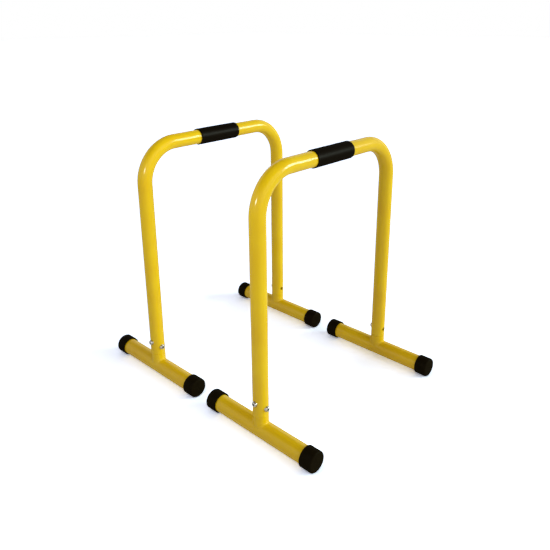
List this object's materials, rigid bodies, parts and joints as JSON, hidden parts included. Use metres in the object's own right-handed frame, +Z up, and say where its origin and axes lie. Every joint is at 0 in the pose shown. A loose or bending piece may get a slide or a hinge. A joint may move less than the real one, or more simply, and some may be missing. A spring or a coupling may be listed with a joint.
{
  "type": "parallel bars",
  "caption": "Low free-standing parallel bars for dips and body-weight exercise: bent steel tube stands with foam grips, bolted to cross feet with round rubber caps.",
  "frame": {"origin": "on the floor, at the centre of the pair of stands", "axes": "+Z up, +X across the pair from the left stand to the right one and along the feet, +Y along the bars from front to rear"},
  "size_m": [0.783, 0.57, 0.703],
  "materials": {
    "yellow_coat": "semi-gloss yellow powder coat on steel tube",
    "black_foam": "matt closed-cell foam",
    "black_rubber": "satin moulded rubber",
    "zinc_steel": "bright zinc plate on steel fasteners"
  },
  "bodies": {
    "right_stand": {"right_bar_tube": "yellow_coat", "right_grip": "black_foam", "right_front_foot_tube": "yellow_coat", "right_front_collar": "yellow_coat", "right_front_spigot": "yellow_coat", "right_front_inner_cap": "black_rubber", "right_front_outer_cap": "black_rubber", "right_front_face_bolt": "zinc_steel", "right_front_face_washer": "zinc_steel", "right_front_face_weld_nut": "zinc_steel", "right_front_side_bolt": "zinc_steel", "right_front_side_washer": "zinc_steel", "right_front_side_weld_nut": "zinc_steel", "right_rear_foot_tube": "yellow_coat", "right_rear_collar": "yellow_coat", "right_rear_spigot": "yellow_coat", "right_rear_inner_cap": "black_rubber", "right_rear_outer_cap": "black_rubber", "right_rear_face_bolt": "zinc_steel", "right_rear_face_washer": "zinc_steel", "right_rear_face_weld_nut": "zinc_steel", "right_rear_side_bolt": "zinc_steel", "right_rear_side_washer": "zinc_steel", "right_rear_side_weld_nut": "zinc_steel"},
    "left_stand": {"left_bar_tube": "yellow_coat", "left_grip": "black_foam", "left_front_foot_tube": "yellow_coat", "left_front_collar": "yellow_coat", "left_front_spigot": "yellow_coat", "left_front_inner_cap": "black_rubber", "left_front_outer_cap": "black_rubber", "left_front_face_bolt": "zinc_steel", "left_front_face_washer": "zinc_steel", "left_front_face_weld_nut": "zinc_steel", "left_front_side_bolt": "zinc_steel", "left_front_side_washer": "zinc_steel", "left_front_side_weld_nut": "zinc_steel", "left_rear_foot_tube": "yellow_coat", "left_rear_collar": "yellow_coat", "left_rear_spigot": "yellow_coat", "left_rear_inner_cap": "black_rubber", "left_rear_outer_cap": "black_rubber", "left_rear_face_bolt": "zinc_steel", "left_rear_face_washer": "zinc_steel", "left_rear_face_weld_nut": "zinc_steel", "left_rear_side_bolt": "zinc_steel", "left_rear_side_washer": "zinc_steel", "left_rear_side_weld_nut": "zinc_steel"}
  },
  "joints": [
    {"name": "stand_spacing", "type": "slide", "parent": "right_stand", "child": "left_stand", "axis": [-1, 0, 0], "range_m": [-0.05, 0.25]}
  ]
}
